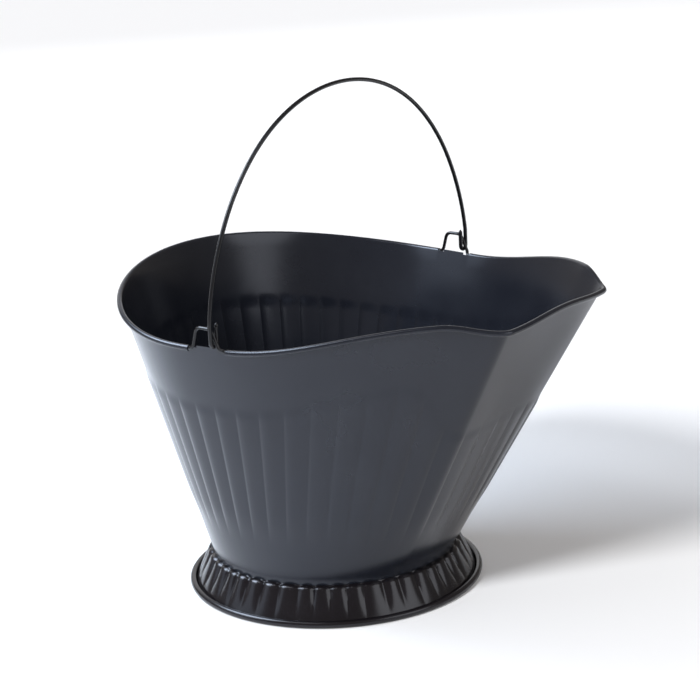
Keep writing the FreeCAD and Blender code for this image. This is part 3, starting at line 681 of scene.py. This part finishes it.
def bail_line():
    """Half of the bail in its upright plane, across and up from the pivot, from the top to the hook's tip.

    A wide arc over the crown meets a closer one down the shoulder, both drawn in by half a wave of a sine,
    which is nothing at the top and at the straight leg. A half circle turns up into a short leg.
    """
    longer = (bail_span - bail_height + BAIL_LEG) / (math.sin(BAIL_CROWN) + math.cos(BAIL_CROWN) - 1)
    shoulder = bail_span - longer * math.sin(BAIL_CROWN)
    crown = shoulder + longer
    joint = math.pi / 2 - BAIL_CROWN
    over = arc((0, bail_height - crown), crown, math.pi / 2, joint, CROWN_POINTS)
    down = arc((bail_span - shoulder, BAIL_LEG), shoulder, joint, 0, SHOULDER_POINTS)
    hook = arc((ear_reach, hook_radius), hook_radius, 0, -math.pi, HOOK_POINTS)
    leg = np.linspace(hook[-1], [hook[-1, 0], HOOK_HEIGHT], HOOK_LEG_POINTS)
    arch = np.concatenate([over, down[1:]])
    rise = (arch[:, 1] - BAIL_LEG) / (bail_height - BAIL_LEG)
    arch[:, 0] *= 1 - BAIL_DRAWN_IN / bail_span * np.sin(np.pi * rise)
    return np.concatenate([arch, hook, leg[1:]])


half_bail = bail_line()
across, rise = np.concatenate([half_bail[::-1], half_bail[1:] * [-1, 1]]).T
bail_middle = np.stack([np.full(len(rise), pivot.x), across, pivot.z + rise], 1)
thickness = np.concatenate([[0.0, TIP_SHARE], np.ones(len(rise) - 4), [TIP_SHARE, 0.0]])
swing_side = np.tile([1.0, 0.0, 0.0], (len(rise), 1))
bail_tube = tube(bail_middle, bail_radius * thickness, swing_side, BAIL_SIDES, False)
bail_mesh = grid_mesh("bail_handle_wire", [(bail_tube, False, True)])
add_piece("bail_handle_wire", bail_mesh, wire_paint, "bail", "bail_handle")

# Floor, light and camera
# A flat white floor in a dim, warm studio, lit mainly from the front left, with a lit backdrop behind the hod
# and a pane that only gloss shows. The camera looks down a little over the rim and is slightly tilted.
FLOOR_RINGS = (0, 0.4, 1.5, 4.0, 9.0)
FLOOR_COLUMNS = 96
FLOOR_COLOUR = (0.91, 0.91, 0.92, 1)
WORLD_COLOUR = (1.0, 0.92, 0.86, 1)
WORLD_LEVEL = 0.25
HOD_MIDDLE = (0, 0, 0.2)
FLOOR_OWN_WHITE = 0.06
CAMERA_PLACE = Vector((1.1660, -1.4671, 0.7613))
CAMERA_AIM = Vector((0.0174, 0.0138, 0.2065))
CAMERA_TILT = math.radians(-2.91)
LENS = 114.83
CAMERA_REACH = 50


def white_floor():
    """Matt white that takes soft shadow, with part of its white its own for rays that show it."""
    material, start = new_tree("floor")
    rays = [start.node("ShaderNodeLightPath", {}, {}, name)
            for name in ("Is Camera Ray", "Is Glossy Ray", "Is Transmission Ray")]
    matt = start.node("ShaderNodeBsdfDiffuse", {}, {"Color": FLOOR_COLOUR})
    own = start.node("ShaderNodeEmission", {}, {"Color": (1, 1, 1, 1), "Strength": FLOOR_OWN_WHITE})
    both = start.node("ShaderNodeAddShader", {}, {0: matt, 1: own})
    shown = start.node("ShaderNodeMixShader", {}, {0: rays[0] + rays[1] + rays[2], 1: matt, 2: both})
    start.node("ShaderNodeOutputMaterial", {}, {"Surface": shown})
    return material


floor_profile = [(radius, 0) for radius in FLOOR_RINGS]
floor_mesh = grid_mesh("floor", [(turned(floor_profile, FLOOR_COLUMNS), False, True)])
floor = bpy.data.objects.new("floor", floor_mesh)
bpy.context.scene.collection.objects.link(floor)
floor.data.materials.append(white_floor())

world = bpy.data.worlds.new("studio")
bpy.context.scene.world = world
world.use_nodes = True
world.node_tree.nodes.clear()
room = Value(world.node_tree)
background = room.node("ShaderNodeBackground", {}, {"Color": WORLD_COLOUR, "Strength": WORLD_LEVEL})
room.node("ShaderNodeOutputWorld", {}, {"Surface": background})


def far_lamp(name, bearing, height, strength, width, colour, mirrored):
    """A wide even lamp far away, with its bearing, its height and how wide it looks in degrees.

    Gloss shows it only if it is mirrored.
    """
    lamp = bpy.data.lights.new(name, "SUN")
    lamp.energy = strength
    lamp.angle = math.radians(width)
    lamp.color = colour
    holder = bpy.data.objects.new(name, lamp)
    holder.rotation_euler = (math.radians(90 - height), 0, math.radians(bearing + 90))
    holder.visible_glossy = mirrored
    bpy.context.scene.collection.objects.link(holder)


def soft_box(name, place, aim, width, height, spread, power, colour, lights_matt=True):
    """A soft oblong lamp, its width level, that faces a point and lights only so many degrees about it.

    Matt surfaces can be left out, so that only gloss shows it.
    """
    lamp = bpy.data.lights.new(name, "AREA")
    lamp.shape = "RECTANGLE"
    lamp.size = width
    lamp.size_y = height
    lamp.spread = math.radians(spread)
    lamp.energy = power
    lamp.color = colour
    holder = bpy.data.objects.new(name, lamp)
    holder.location = place
    holder.visible_camera = False
    holder.visible_diffuse = lights_matt
    holder.rotation_euler = (Vector(aim) - Vector(place)).to_track_quat("-Z", "Y").to_euler()
    bpy.context.scene.collection.objects.link(holder)


far_lamp("key", bearing=265, height=36, strength=3.1, width=14, colour=(0.96, 0.98, 1.0), mirrored=False)
far_lamp("fill", bearing=4, height=28, strength=0.75, width=40, colour=(0.95, 0.97, 1.0), mirrored=True)
far_lamp("window", bearing=222, height=30, strength=0.42, width=40, colour=(0.74, 0.85, 1.0), mirrored=True)
soft_box("backdrop", place=(-2.2, 2.0, 1.3), aim=HOD_MIDDLE, width=3.0, height=1.6, spread=180, power=12,
         colour=(0.95, 0.97, 1.0))
soft_box("pane", place=(-1.10, -0.77, 1.49), aim=HOD_MIDDLE, width=1.2, height=0.9, spread=180, power=30,
         colour=(0.80, 0.89, 1.0), lights_matt=False)
soft_box("overhead", place=(-0.3, -0.8, 1.85), aim=HOD_MIDDLE, width=1.2, height=0.2, spread=180, power=3.8,
         colour=(0.97, 0.98, 1.0))
soft_box("left", place=(-0.75, -0.25, 0.9), aim=(-0.42, -0.12, 0), width=0.7, height=0.7, spread=90,
         power=4.4, colour=(0.70, 0.83, 1.0))

camera = bpy.data.cameras.new("camera")
camera.lens = LENS
camera.clip_end = CAMERA_REACH
viewer = bpy.data.objects.new("camera", camera)
ahead = (CAMERA_AIM - CAMERA_PLACE).normalized()
right = ahead.cross(Vector((0, 0, 1))).normalized()
up = right.cross(ahead)
tilted_right = right * math.cos(CAMERA_TILT) + up * math.sin(CAMERA_TILT)
tilted_up = up * math.cos(CAMERA_TILT) - right * math.sin(CAMERA_TILT)
turned_axes = Matrix((tilted_right, tilted_up, -ahead)).transposed().to_4x4()
viewer.matrix_world = Matrix.Translation(CAMERA_PLACE) @ turned_axes
bpy.context.scene.collection.objects.link(viewer)
bpy.context.scene.camera = viewer
bpy.context.scene.view_settings.view_transform = "Standard"
